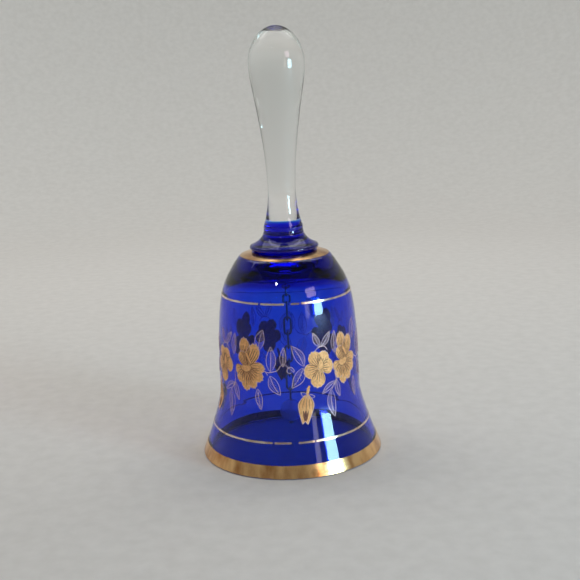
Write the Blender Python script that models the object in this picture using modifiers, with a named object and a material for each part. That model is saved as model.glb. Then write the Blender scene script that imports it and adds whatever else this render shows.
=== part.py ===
"""Cobalt glass hand bell with a clear drop handle, fired gilding and a bead clapper on a chain.

Metres, +Z up. The origin is the centre of the mouth, on the surface that the bell stands on.
"""

import math

import bmesh
import bpy

# Overall sizes
TOTAL_HEIGHT = 0.165
BODY_HEIGHT = 0.0806
MOUTH_RADIUS = 0.03585
WAIST_RADIUS = 0.0278

# Bell body
WALL = 0.0022
FLARE_HEIGHT = 0.0255
FLARE_POWER = 1.28
CROWN_THICKNESS = 0.0046
CROWN_LEDGE = 0.0005
DOME_DEPTH = 0.0124
LIP_ROUND = 0.0007
# Depth below the crown, and how far the outside has come in there on its way from the waist to the crown's
# flat top, as a share.
SHOULDER = (
    (0.0005, 0.872),
    (0.0014, 0.686),
    (0.0028, 0.590),
    (0.0064, 0.436),
    (0.0105, 0.288),
    (0.0147, 0.186),
    (0.0190, 0.122),
    (0.0250, 0.071),
    (0.0330, 0.032),
    (0.0460, 0.006),
)

# Collar: a flared foot with a thin rounded disc
COLLAR_HEIGHT = 0.0091
COLLAR_SEAT_RADIUS = 0.0117
DISC_OVERHANG = 0.0017
COLLAR_TOP_RADIUS = 0.0076
DISC_THICKNESS = 0.0021
DISC_EDGE = 0.0005

# Handle: a solid drop on a flared foot
NECK_RADIUS = 0.00535
NECK_ABOVE_COLLAR = 0.0148
BELLY_RADIUS = 0.01065
BELLY_BELOW_TOP = 0.014
FOOT_POWER = 2.3
DROP_RISE = 4.35
DROP_SWELL = 0.374

# Gilding
GILD_GAP = 0.00025
GILD_THICKNESS = 0.00025
LINE_WIDTH = 0.0009
UPPER_LINE_BELOW_CROWN = 0.0160
LOWER_LINE_HEIGHT = 0.0127
RIM_BAND_BOTTOM = 0.0008
RIM_BAND_TOP = 0.0049
CROWN_BAND_MARGIN = 0.0006
CROWN_BAND_WIDTH = 0.0046

# Flowers: four sprays round the body, each with an open flower, a side flower and a bud. A rise is the
# height of a flower's centre above the bottom of its spray. The sprays were laid on by hand, so neither
# their angles nor the turns of their side flowers are even.
SPRAY_ANGLES = (38.0, 131.0, 213.5, 311.0)
SIDE_FLOWER_TURNS = (12.5, 13.0, 13.6, 16.0)
SPRAY_LOW_SHARE = 0.308
OPEN_FLOWER = {"turn": -14.0, "rise": 0.0207, "half_width": 0.0067, "half_height": 0.0077}
SIDE_FLOWER = {"turn": 0.0, "rise": 0.0221, "half_width": 0.0066, "half_height": 0.0096}
BUD = {"turn": -26.0, "rise": 0.0064, "half_width": 0.0034, "half_height": 0.0064}

# Chain and clapper
LINK_COUNT = 8
WIRE_RADIUS = 0.0004
LINK_INNER_WIDTH = 0.0018
LINK_PLAY = 0.0003
CLAPPER_ABOVE_MOUTH = 0.0094
PLUG_RADIUS = 0.0045
PLUG_HEIGHT = 0.0026
SHANK_DEPTH = 0.0020
EYE_DROP = 0.0010
BEAD_RADIUS = 0.0045
PIN_ABOVE_BEAD = 0.0027
PIN_HEAD_RADIUS = 0.0010
PIN_HEAD_LENGTH = 0.0008

# Clearances between pieces that touch
GAP = 0.0003

# Facets
BODY_SEGMENTS = 40
SMALL_SEGMENTS = 20
HANDLE_SEGMENTS = 28
ARC_STEPS = 5
# An even number of steps leaves a facet corner at the crest of each link and ring, where wire meets wire.
LINK_ARC_STEPS = 6
EYE_ARC_STEPS = 10
EYE_SWEEP = 300.0

CROWN_FLAT_RADIUS = COLLAR_SEAT_RADIUS + CROWN_LEDGE
COLLAR_RADIUS = COLLAR_SEAT_RADIUS + DISC_OVERHANG
UPPER_LINE_HEIGHT = BODY_HEIGHT - UPPER_LINE_BELOW_CROWN
LINK_HALF_WIDTH = LINK_INNER_WIDTH / 2 + WIRE_RADIUS


def clear_scene():
    for old in list(bpy.data.objects):
        bpy.data.objects.remove(old, do_unlink=True)


def make_collection(name):
    group = bpy.data.collections.new(name)
    bpy.context.scene.collection.children.link(group)
    return group


def make_material(name, colour, roughness, metallic=0.0, transmission=0.0):
    finish = bpy.data.materials.new(name)
    finish.use_nodes = True
    shader = finish.node_tree.nodes["Principled BSDF"]
    shader.inputs["Base Color"].default_value = (*colour, 1.0)
    shader.inputs["Roughness"].default_value = roughness
    shader.inputs["Metallic"].default_value = metallic
    shader.inputs["Transmission Weight"].default_value = transmission
    return finish


def add_object(name, data, finish, group):
    piece = bpy.data.objects.new(name, data)
    piece.data.materials.append(finish)
    group.objects.link(piece)
    return piece


def arc(centre, radii, start, end, steps):
    """Points on an ellipse's arc in the profile plane, as (radius, height) pairs, angles in degrees."""
    points = []
    for step in range(steps + 1):
        angle = math.radians(start + (end - start) * step / steps)
        points.append((centre[0] + radii[0] * math.cos(angle), centre[1] + radii[1] * math.sin(angle)))
    return points


def spline_value(knots, x):
    """The smooth curve through knots, (x, y) pairs in rising order of x, with a slope at each knot
    taken from its neighbours."""
    if x <= knots[0][0]:
        return knots[0][1]
    if x >= knots[-1][0]:
        return knots[-1][1]
    index = max(i for i in range(len(knots) - 1) if knots[i][0] <= x)

    def slope(i):
        low, high = max(i - 1, 0), min(i + 1, len(knots) - 1)
        return (knots[high][1] - knots[low][1]) / (knots[high][0] - knots[low][0])

    (x0, y0), (x1, y1) = knots[index], knots[index + 1]
    span = x1 - x0
    t = (x - x0) / span
    return (
        y0 * (2 * t**3 - 3 * t**2 + 1)
        + slope(index) * span * (t**3 - 2 * t**2 + t)
        + y1 * (3 * t**2 - 2 * t**3)
        + slope(index + 1) * span * (t**3 - t**2)
    )


def outer_radius(height):
    """Outside radius of the bell body at a height above the mouth."""
    flare = max(0.0, 1.0 - height / FLARE_HEIGHT) ** FLARE_POWER
    radius = WAIST_RADIUS + (MOUTH_RADIUS - WAIST_RADIUS) * flare
    depth = BODY_HEIGHT - height
    if depth < SHOULDER[-1][0]:
        radius -= (WAIST_RADIUS - CROWN_FLAT_RADIUS) * spline_value(SHOULDER, depth)
    return radius


def turned(name, profile, finish, group, segments, closed=False):
    """A solid of revolution: the profile runs down its outer side, and closed joins its ends."""
    mesh = bpy.data.meshes.new(name)
    points = [(radius, 0.0, height) for radius, height in profile]
    edges = [(i, i + 1) for i in range(len(points) - 1)]
    if closed:
        edges.append((len(points) - 1, 0))
    mesh.from_pydata(points, edges, [])
    piece = add_object(name, mesh, finish, group)
    screw = piece.modifiers.new("Turn", "SCREW")
    screw.axis = "Z"
    screw.steps = segments
    screw.render_steps = segments
    screw.use_merge_vertices = True
    screw.merge_threshold = 0.00001
    screw.use_smooth_shade = True
    return piece


def wire(name, points, pivot, finish, group, plane, cyclic=False, swell=None):
    """A round wire along (across, height) points, in the plane XZ or YZ, with its origin at the pivot."""
    curve = bpy.data.curves.new(name, "CURVE")
    curve.dimensions = "3D"
    curve.bevel_depth = WIRE_RADIUS
    curve.bevel_resolution = 2
    curve.use_fill_caps = True
    spline = curve.splines.new("POLY")
    spline.points.add(len(points) - 1)
    for index, (across, height) in enumerate(points):
        x, y = (across, 0.0) if plane == "XZ" else (0.0, across)
        spline.points[index].co = (x, y, height - pivot, 1.0)
        spline.points[index].radius = swell[index] if swell else 1.0
    spline.use_cyclic_u = cyclic
    piece = add_object(name, curve, finish, group)
    piece.location.z = pivot
    return piece


def body_profile():
    """Down the outside from the crown, round the lip, and up the inside to the ceiling."""
    barrel_low = FLARE_HEIGHT + GAP
    shoulder_heights = [BODY_HEIGHT - depth for depth, _ in SHOULDER]
    flare_heights = [FLARE_HEIGHT * (1 - step / ARC_STEPS) for step in range(1, ARC_STEPS)]
    heights = [height for height in shoulder_heights if height > barrel_low + LIP_ROUND]
    heights += [barrel_low] + flare_heights
    lip_radius = outer_radius(LIP_ROUND)
    profile = [(0.0, BODY_HEIGHT), (CROWN_FLAT_RADIUS, BODY_HEIGHT)]
    profile += [(outer_radius(height), height) for height in heights]
    profile += [(lip_radius, LIP_ROUND), (lip_radius - LIP_ROUND * 0.3, LIP_ROUND * 0.3)]
    profile += [(lip_radius - LIP_ROUND, 0.0)]
    profile += [(lip_radius - WALL + LIP_ROUND * 0.5, 0.0), (lip_radius - WALL, LIP_ROUND * 0.5)]
    dome_base = BODY_HEIGHT - CROWN_THICKNESS - DOME_DEPTH
    inside = [height for height in reversed(heights) if height < dome_base]
    profile += [(outer_radius(height) - WALL, height) for height in inside]
    dome_steps = ARC_STEPS + 3
    for step in range(dome_steps):
        angle = math.pi / 2 * step / dome_steps
        radius = (outer_radius(dome_base) - WALL) * math.cos(angle)
        profile.append((radius, dome_base + DOME_DEPTH * math.sin(angle)))
    return profile + [(0.0, dome_base + DOME_DEPTH)]


def collar_profile():
    base = BODY_HEIGHT + GAP
    edge_low = base + DISC_THICKNESS * 0.5
    edge_high = base + DISC_THICKNESS
    top = base + COLLAR_HEIGHT
    flare_height = top - edge_high
    profile = [(0.0, top), (COLLAR_TOP_RADIUS, top)]
    for step in range(1, ARC_STEPS):
        t = step / ARC_STEPS
        reach = COLLAR_TOP_RADIUS + (COLLAR_RADIUS - DISC_EDGE - COLLAR_TOP_RADIUS) * t**2.6
        profile.append((reach, top - flare_height * t**0.9))
    profile += [
        (COLLAR_RADIUS - DISC_EDGE, edge_high),
        (COLLAR_RADIUS, (edge_low + edge_high) / 2),
        (COLLAR_RADIUS - DISC_EDGE / 2, edge_low),
        (COLLAR_SEAT_RADIUS, base),
        (0.0, base),
    ]
    return profile


def handle_profile():
    """A half ellipse over the belly, a drop-shaped taper to the neck, and a flared foot."""
    base = BODY_HEIGHT + COLLAR_HEIGHT + 2 * GAP
    neck = base + NECK_ABOVE_COLLAR
    belly = TOTAL_HEIGHT - BELLY_BELOW_TOP
    cap = arc((0.0, belly), (BELLY_RADIUS, BELLY_BELOW_TOP), 90, 0, ARC_STEPS + 2)
    profile = [(0.0, TOTAL_HEIGHT)] + cap[1:]
    taper_steps = 2 * ARC_STEPS
    for step in range(1, taper_steps + 1):
        t = 1 - step / taper_steps
        swell = math.sin(math.pi / 2 * t**DROP_RISE) ** DROP_SWELL
        radius = NECK_RADIUS + (BELLY_RADIUS - NECK_RADIUS) * swell
        profile.append((radius, neck + (belly - neck) * t))
    for step in range(1, ARC_STEPS + 1):
        t = step / ARC_STEPS
        radius = NECK_RADIUS + (COLLAR_TOP_RADIUS - NECK_RADIUS) * t**FOOT_POWER
        profile.append((radius, neck + (base - neck) * t))
    return profile + [(0.0, base)]


def band_profile(points):
    """A thin ring of gilding just off the surface points, (radius, height) from the top down."""
    inner, outer = [], []
    for index, (radius, height) in enumerate(points):
        (r0, z0), (r1, z1) = points[max(index - 1, 0)], points[min(index + 1, len(points) - 1)]
        length = math.hypot(r1 - r0, z1 - z0)
        normal = ((z0 - z1) / length, (r1 - r0) / length)
        inner.append((radius + normal[0] * GILD_GAP, height + normal[1] * GILD_GAP))
        reach = GILD_GAP + GILD_THICKNESS
        outer.append((radius + normal[0] * reach, height + normal[1] * reach))
    return outer + inner[::-1]


def surface_points(top, bottom, steps):
    heights = [top + (bottom - top) * step / steps for step in range(steps + 1)]
    return [(outer_radius(height), height) for height in heights]


def crown_band_points():
    """The crown's surface between the two radii of its band."""
    low, high = BODY_HEIGHT - SHOULDER[-1][0], BODY_HEIGHT
    band_inner = CROWN_FLAT_RADIUS + CROWN_BAND_MARGIN
    points = []
    for step in range(4):
        target = band_inner + CROWN_BAND_WIDTH * step / 3
        below, above = low, high
        for _ in range(40):
            middle = (below + above) / 2
            if outer_radius(middle) > target:
                below = middle
            else:
                above = middle
        points.append((outer_radius(below), below))
    return points


def spray_base():
    """Height of the bottom of each spray, in the space that the two gold lines leave."""
    low = LOWER_LINE_HEIGHT + LINE_WIDTH / 2
    high = UPPER_LINE_HEIGHT - LINE_WIDTH / 2
    spray_height = SIDE_FLOWER["rise"] + SIDE_FLOWER["half_height"]
    return low + SPRAY_LOW_SHARE * (high - low - spray_height)


def open_flower_reach(angle):
    """Share of full reach of a five-petalled flower at an angle from its top."""
    return 0.66 + 0.34 * abs(math.cos(2.5 * angle)) ** 0.6


def side_flower_reach(angle):
    """A flower seen from the side: a narrow top petal and a broad fan below."""
    return 0.55 + 0.45 * abs(math.cos(angle)) ** 1.5


def bud_reach(angle):
    """A drop, pointed at the top."""
    return 0.72 + 0.28 * abs(math.cos(angle)) ** 3


def flower(name, spray_angle, size, reach, finish, group):
    """A thin closed patch that follows the body, drawn outwards from its centre in rings."""
    spokes, rings = 20, 2
    middle = math.radians(spray_angle + size["turn"])
    middle_height = spray_base() + size["rise"]

    def on_body(share, angle):
        across = size["half_width"] * share * reach(angle) * math.sin(angle)
        height = middle_height + size["half_height"] * share * reach(angle) * math.cos(angle)
        radius = outer_radius(height) + GILD_GAP
        turn = middle + across / outer_radius(middle_height)
        return (radius * math.sin(turn), -radius * math.cos(turn), height)

    shape = bmesh.new()
    centre = shape.verts.new(on_body(0.0, 0.0))
    ring_before = None
    for ring in range(1, rings + 1):
        now = [shape.verts.new(on_body(ring / rings, math.tau * spoke / spokes)) for spoke in range(spokes)]
        for spoke in range(spokes):
            after = (spoke + 1) % spokes
            if ring_before is None:
                shape.faces.new((centre, now[after], now[spoke]))
            else:
                shape.faces.new((ring_before[spoke], ring_before[after], now[after], now[spoke]))
        ring_before = now
    mesh = bpy.data.meshes.new(name)
    shape.to_mesh(mesh)
    shape.free()
    piece = add_object(name, mesh, finish, group)
    thicken = piece.modifiers.new("Leaf", "SOLIDIFY")
    thicken.thickness = GILD_THICKNESS
    thicken.offset = 1.0
    return piece


def link_points(apex, length):
    """A long ring of wire whose top and bottom are half circles, as (across, height) pairs."""
    top = arc((0.0, apex - LINK_HALF_WIDTH), (LINK_HALF_WIDTH, LINK_HALF_WIDTH), 0, 180, LINK_ARC_STEPS)
    low = apex - length + LINK_HALF_WIDTH
    bottom = arc((0.0, low), (LINK_HALF_WIDTH, LINK_HALF_WIDTH), 180, 360, LINK_ARC_STEPS)
    return top + bottom


def plane_of(index):
    """Links hang crosswise: the eye in the ceiling is link 0 and lies in XZ."""
    return "XZ" if index % 2 == 0 else "YZ"


def plug_heights():
    top = BODY_HEIGHT - CROWN_THICKNESS - GAP
    return top, top - PLUG_HEIGHT


def ceiling_drop(radius):
    """How far the domed ceiling has come down from its middle at a radius."""
    dome_base = BODY_HEIGHT - CROWN_THICKNESS - DOME_DEPTH
    share = radius / (outer_radius(dome_base) - WALL)
    return DOME_DEPTH * (1.0 - math.sqrt(1.0 - share**2))


def clapper_length():
    """From the axis that the clapper hangs by to the bottom of its pin."""
    above_bead = 2 * LINK_HALF_WIDTH - 2 * WIRE_RADIUS - LINK_PLAY + PIN_ABOVE_BEAD
    return above_bead + 2 * BEAD_RADIUS + GAP + PIN_HEAD_LENGTH


def link_pitch():
    """Spacing of the links: the chain just holds the clapper clear of what the bell stands on."""
    chain_top = plug_heights()[1] - EYE_DROP - 2 * LINK_HALF_WIDTH
    return (chain_top - clapper_length() - CLAPPER_ABOVE_MOUTH) / LINK_COUNT


def pivot_height(index):
    """Height of the axis that a link hangs by: the lowest point of the wire above it. The clapper comes
    after the last link."""
    eye_bottom = plug_heights()[1] - EYE_DROP - 2 * LINK_HALF_WIDTH
    return eye_bottom - link_pitch() * (index - 1)


def apex_height(index):
    """Height of the crest of a link's own wire, which rides just above its pivot."""
    return pivot_height(index) + 2 * WIRE_RADIUS + LINK_PLAY


def eye_points(tip, ring_top, below):
    """A straight shank from its tip to a nearly closed ring, which lies below the shank or above it."""
    side = -1 if below else 1
    centre = ring_top + side * LINK_HALF_WIDTH
    start = -90 * side
    sweep = arc((0.0, centre), (LINK_HALF_WIDTH, LINK_HALF_WIDTH), start, start + EYE_SWEEP, EYE_ARC_STEPS)
    return [(0.0, tip)] + sweep


def add_anchor(finishes, group):
    """The plug cemented under the ceiling, whose top falls away with the dome, and the wire eye set in it."""
    top, bottom = plug_heights()
    hole = WIRE_RADIUS + GAP
    edge = top - ceiling_drop(PLUG_RADIUS)
    plug = [(PLUG_RADIUS, edge), (PLUG_RADIUS, bottom + LIP_ROUND), (PLUG_RADIUS - LIP_ROUND, bottom)]
    plug += [(hole, bottom), (hole, top)]
    turned("anchor_plug", plug, finishes["plaster"], group, SMALL_SEGMENTS, closed=True)
    eye = eye_points(bottom + SHANK_DEPTH, bottom - EYE_DROP, True)
    wire("anchor_eye", eye, bottom, finishes["brass"], group, plane_of(0))


def add_chain(finishes, group):
    """Each link's origin is on the axis that it swings about."""
    for index in range(1, LINK_COUNT + 1):
        ring = link_points(apex_height(index), link_pitch() + 2 * WIRE_RADIUS + LINK_PLAY)
        name = f"chain_link_{index}"
        wire(name, ring, pivot_height(index), finishes["brass"], group, plane_of(index), cyclic=True)


def add_clapper(finishes, group):
    """A bead on a wire pin, with an eye above it and a peened head below. Both swing about the eye."""
    index = LINK_COUNT + 1
    pivot = pivot_height(index)
    eye_bottom = apex_height(index) - 2 * LINK_HALF_WIDTH
    bead_top = eye_bottom - PIN_ABOVE_BEAD
    bead_middle = bead_top - BEAD_RADIUS
    head_top = bead_middle - BEAD_RADIUS - GAP
    head_bottom = head_top - PIN_HEAD_LENGTH
    broad = PIN_HEAD_RADIUS / WIRE_RADIUS
    head_heights = (head_bottom, head_bottom + PIN_HEAD_LENGTH * 0.2, head_top - WIRE_RADIUS / 4, head_top)
    points = [(0.0, height) for height in head_heights] + eye_points(bead_top, eye_bottom, False)
    swell = [broad * 0.7, broad, broad] + [1.0] * (len(points) - 3)
    wire("clapper_pin", points, pivot, finishes["brass"], group, plane_of(index), swell=swell)
    tip = math.degrees(math.acos((WIRE_RADIUS + GAP) / BEAD_RADIUS))
    bead = arc((0.0, bead_middle - pivot), (BEAD_RADIUS, BEAD_RADIUS), tip, -tip, 2 * ARC_STEPS)
    clapper = turned("clapper_bead", bead, finishes["glass_bead"], group, SMALL_SEGMENTS, closed=True)
    clapper.location.z = pivot


def add_gilding(finishes, group):
    gold = finishes["gold"]
    half = LINE_WIDTH / 2
    rows = {
        "crown_band": crown_band_points(),
        "upper_gold_line": surface_points(UPPER_LINE_HEIGHT + half, UPPER_LINE_HEIGHT - half, 1),
        "lower_gold_line": surface_points(LOWER_LINE_HEIGHT + half, LOWER_LINE_HEIGHT - half, 1),
        "rim_band": surface_points(RIM_BAND_TOP, RIM_BAND_BOTTOM, 2),
    }
    for name, points in rows.items():
        turned(name, band_profile(points), gold, group, BODY_SEGMENTS, closed=True)


def add_flowers(finishes, group):
    for number, (angle, turn) in enumerate(zip(SPRAY_ANGLES, SIDE_FLOWER_TURNS), start=1):
        flower(f"open_flower_{number}", angle, OPEN_FLOWER, open_flower_reach, finishes["petal"], group)
        side_angle = angle + turn
        flower(f"side_flower_{number}", side_angle, SIDE_FLOWER, side_flower_reach, finishes["petal"], group)
        flower(f"bud_{number}", angle, BUD, bud_reach, finishes["petal"], group)


def main():
    clear_scene()
    group = make_collection("glass_bell")
    finishes = {
        "cobalt": make_material("cobalt_glass", (0.01, 0.04, 0.40), 0.02, transmission=1.0),
        "clear": make_material("clear_glass", (0.95, 0.97, 0.97), 0.01, transmission=1.0),
        "glass_bead": make_material("bead_glass", (0.90, 0.94, 0.96), 0.03, transmission=1.0),
        "gold": make_material("gilding", (0.62, 0.40, 0.16), 0.28, metallic=1.0),
        "petal": make_material("matt_gilding", (0.72, 0.46, 0.20), 0.42, metallic=1.0),
        "brass": make_material("chain_brass", (0.66, 0.48, 0.20), 0.30, metallic=1.0),
        "plaster": make_material("plaster", (0.78, 0.76, 0.70), 0.85),
    }
    turned("bell_body", body_profile(), finishes["cobalt"], group, BODY_SEGMENTS)
    turned("collar", collar_profile(), finishes["cobalt"], group, BODY_SEGMENTS)
    turned("handle", handle_profile(), finishes["clear"], group, HANDLE_SEGMENTS)
    add_gilding(finishes, group)
    add_flowers(finishes, group)
    add_anchor(finishes, group)
    add_chain(finishes, group)
    add_clapper(finishes, group)


main()
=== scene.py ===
"""Looks for a cobalt glass hand bell with a clear drop handle, fired gilding and a bead clapper.

Everything is in metres, +Z up. The bell stands on z = 0 and faces -Y.
"""

import logging
import math
import random
from dataclasses import dataclass, field
from enum import Enum

import bmesh
import bpy
from mathutils import Matrix, Vector, noise


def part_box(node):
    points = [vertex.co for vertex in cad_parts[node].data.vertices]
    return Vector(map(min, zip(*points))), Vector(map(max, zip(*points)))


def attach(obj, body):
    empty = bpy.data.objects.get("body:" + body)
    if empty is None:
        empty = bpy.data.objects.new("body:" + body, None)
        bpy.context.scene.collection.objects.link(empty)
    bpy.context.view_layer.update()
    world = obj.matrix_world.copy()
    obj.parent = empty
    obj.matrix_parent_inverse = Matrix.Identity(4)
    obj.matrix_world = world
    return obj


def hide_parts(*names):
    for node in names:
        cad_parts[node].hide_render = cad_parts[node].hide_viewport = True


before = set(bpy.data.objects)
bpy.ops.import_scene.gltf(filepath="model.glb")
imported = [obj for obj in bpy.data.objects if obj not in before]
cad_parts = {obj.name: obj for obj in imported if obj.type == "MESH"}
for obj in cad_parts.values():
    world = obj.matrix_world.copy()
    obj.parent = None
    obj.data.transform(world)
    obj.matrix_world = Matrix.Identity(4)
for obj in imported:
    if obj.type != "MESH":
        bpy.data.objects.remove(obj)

LOG = logging.getLogger("glass_bell")
MM = 0.001
BELL = "bell"
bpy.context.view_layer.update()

Point2 = tuple[float, float]
Point3 = tuple[float, float, float]
Profile = list[Point2]
Colour = tuple[float, float, float]
Socket = bpy.types.NodeSocket

# The solids of fused glass stand apart. Their looks close that gap to a sliver, so no two faces coincide.
SOLID_GAP = 0.3 * MM
SLIVER = 0.02 * MM


# ---------------------------------------------------------------- meshes


def arc(centre: Point2, radii: Point2, start: float, end: float, steps: int) -> Profile:
    """Points on an ellipse's arc in a profile plane.

    Args:
        centre: Centre of the ellipse, as (radius, height).
        radii: Half sizes of the ellipse.
        start: First angle in degrees, from the outward direction.
        end: Last angle in degrees.
        steps: Number of steps between the two.

    Returns:
        steps + 1 points as (radius, height).
    """
    points = []
    for step in range(steps + 1):
        angle = math.radians(start + (end - start) * step / steps)
        points.append((centre[0] + radii[0] * math.cos(angle), centre[1] + radii[1] * math.sin(angle)))
    return points


def smooth_value(knots: tuple[Point2, ...], x: float) -> float:
    """Value at x of the smooth curve through knots.

    Args:
        knots: (x, y) pairs in rising order of x.
        x: Where to read the curve. Outside the knots the end values hold.

    Returns:
        The curve's height at x.
    """
    if x <= knots[0][0]:
        return knots[0][1]
    if x >= knots[-1][0]:
        return knots[-1][1]
    index = max(i for i in range(len(knots) - 1) if knots[i][0] <= x)

    def slope(i: int) -> float:
        """Slope at knot i, taken from its neighbours."""
        low, high = max(i - 1, 0), min(i + 1, len(knots) - 1)
        return (knots[high][1] - knots[low][1]) / (knots[high][0] - knots[low][0])

    (x0, y0), (x1, y1) = knots[index], knots[index + 1]
    span = x1 - x0
    t = (x - x0) / span
    start = y0 * (2 * t**3 - 3 * t**2 + 1) + slope(index) * span * (t**3 - 2 * t**2 + t)
    return start + y1 * (3 * t**2 - 2 * t**3) + slope(index + 1) * span * (t**3 - t**2)


def link_object(name: str, mesh: bpy.types.Mesh, finish: "Finish") -> bpy.types.Object:
    """A scene object for mesh, with one finish."""
    piece = bpy.data.objects.new(name, mesh)
    bpy.context.scene.collection.objects.link(piece)
    mesh.materials.append(finish.material())
    return piece


def finish_mesh(name: str, shape: bmesh.types.BMesh, sharp: float = 35.0) -> bpy.types.Mesh:
    """Turns a bmesh into a smooth shaded mesh and frees it.

    Args:
        name: Name of the new mesh.
        shape: The faces, wound outwards.
        sharp: Edges that turn by more than this many degrees stay crisp.

    Returns:
        The mesh.
    """
    mesh = bpy.data.meshes.new(name)
    shape.to_mesh(mesh)
    shape.free()
    mesh.shade_smooth()
    mesh.set_sharp_from_angle(angle=math.radians(sharp))
    return mesh


def revolve(profile: Profile, segments: int, closed: bool = False) -> bmesh.types.BMesh:
    """A turned solid whose profile runs down its outer side.

    Args:
        profile: (radius, height) pairs. A radius of nought is one point on the axis.
        segments: Number of steps round the axis.
        closed: Joins the profile's last point to its first, for a ring.

    Returns:
        The closed shape, wound outwards.
    """
    shape = bmesh.new()
    rings = []
    for radius, height in profile:
        if radius < 1e-7:
            rings.append([shape.verts.new((0.0, 0.0, height))])
            continue
        ring = []
        for step in range(segments):
            angle = math.tau * step / segments
            ring.append(shape.verts.new((radius * math.cos(angle), radius * math.sin(angle), height)))
        rings.append(ring)
    pairs = list(zip(rings[:-1], rings[1:]))
    if closed:
        pairs.append((rings[-1], rings[0]))
    for upper, lower in pairs:
        for step in range(segments):
            after = (step + 1) % segments
            if len(upper) == 1 and len(lower) == 1:
                continue
            if len(upper) == 1:
                shape.faces.new((upper[0], lower[step], lower[after]))
            elif len(lower) == 1:
                shape.faces.new((upper[step], lower[0], upper[after]))
            else:
                shape.faces.new((upper[step], lower[step], lower[after], upper[after]))
    return shape


# ---------------------------------------------------------------- finishes


class Nodes:
    """A short way to write one material's nodes."""

    def __init__(self, material: bpy.types.Material) -> None:
        """Empties the material's node tree and keeps it."""
        material.use_nodes = True
        self.tree = material.node_tree
        self.tree.nodes.clear()
        self.output = self.tree.nodes.new("ShaderNodeOutputMaterial")

    def add(self, kind: str, **settings: object) -> bpy.types.Node:
        """Adds a node.

        Args:
            kind: Node type without its ShaderNode prefix.
            **settings: Attributes of the node to set.

        Returns:
            The node.
        """
        node = self.tree.nodes.new("ShaderNode" + kind)
        for name, value in settings.items():
            setattr(node, name, value)
        return node

    def link(self, source: Socket, target: Socket) -> None:
        """Joins an output to an input."""
        self.tree.links.new(source, target)

    def math(self, operation: str, first: object, second: object = 0.0, third: object = 0.0) -> Socket:
        """One Math node.

        Args:
            operation: Name of the operation.
            first: Number or output socket.
            second: Number or output socket.
            third: Number or output socket.

        Returns:
            The node's output.
        """
        node = self.add("Math", operation=operation)
        for socket, value in zip(node.inputs, (first, second, third)):
            if isinstance(value, Socket):
                self.link(value, socket)
            else:
                socket.default_value = value
        return node.outputs[0]

    def noise(self, scale: float, detail: float = 3.0, vector: Socket | None = None) -> Socket:
        """Noise in object space, from nought to one.

        Args:
            scale: Waves to the metre.
            detail: Number of finer layers.
            vector: Coordinates to use instead of the object's own.

        Returns:
            The noise value's output.
        """
        node = self.add("TexNoise")
        node.inputs["Scale"].default_value = scale
        node.inputs["Detail"].default_value = detail
        self.link(vector or self.object_coords(), node.inputs["Vector"])
        return node.outputs["Fac"]

    def object_coords(self, stretch: Point3 = (1.0, 1.0, 1.0)) -> Socket:
        """Object coordinates times stretch."""
        coords = self.add("TexCoord").outputs["Object"]
        mapping = self.add("Mapping")
        mapping.inputs["Scale"].default_value = stretch
        self.link(coords, mapping.inputs["Vector"])
        return mapping.outputs[0]

    def ramp(self, value: Socket, *stops: tuple[float, Colour]) -> Socket:
        """Colours along value.

        Args:
            value: What picks the colour, from nought to one.
            *stops: (position, colour) pairs in rising order.

        Returns:
            The colour output.
        """
        node = self.add("ValToRGB")
        elements = node.color_ramp.elements
        while len(elements) < len(stops):
            elements.new(0.5)
        for element, (position, colour) in zip(elements, stops):
            element.position = position
            element.color = (*colour, 1.0)
        self.link(value, node.inputs[0])
        return node.outputs[0]

    def range(self, value: Socket, low: float, high: float, to_low: float, to_high: float) -> Socket:
        """Value moved from the span low to high onto to_low to to_high, and held within it."""
        node = self.add("MapRange")
        for name, number in (("From Min", low), ("From Max", high), ("To Min", to_low), ("To Max", to_high)):
            node.inputs[name].default_value = number
        self.link(value, node.inputs["Value"])
        return node.outputs[0]

    def bump(self, height: Socket, distance: float, strength: float = 1.0) -> Socket:
        """Normals bumped by height, which stands for distance metres."""
        node = self.add("Bump")
        node.inputs["Strength"].default_value = strength
        node.inputs["Distance"].default_value = distance
        self.link(height, node.inputs["Height"])
        return node.outputs[0]


class Finish:
    """A finish that is made into a material once and shared by its pieces."""

    name: str

    def material(self) -> bpy.types.Material:
        """The material of this finish."""
        made = bpy.data.materials.get(self.name)
        if made is None:
            made = bpy.data.materials.new(self.name)
            self.build(Nodes(made))
        return made

    def build(self, nodes: Nodes) -> None:
        """Adds this finish's nodes."""
        raise NotImplementedError


class FusedSide(Enum):
    """Which flat ends of a glass piece are fused to its neighbour and so don't bend light."""

    NONE = "none"
    TOP = "top"
    FOOT = "foot"
    BOTH = "both"


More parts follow.
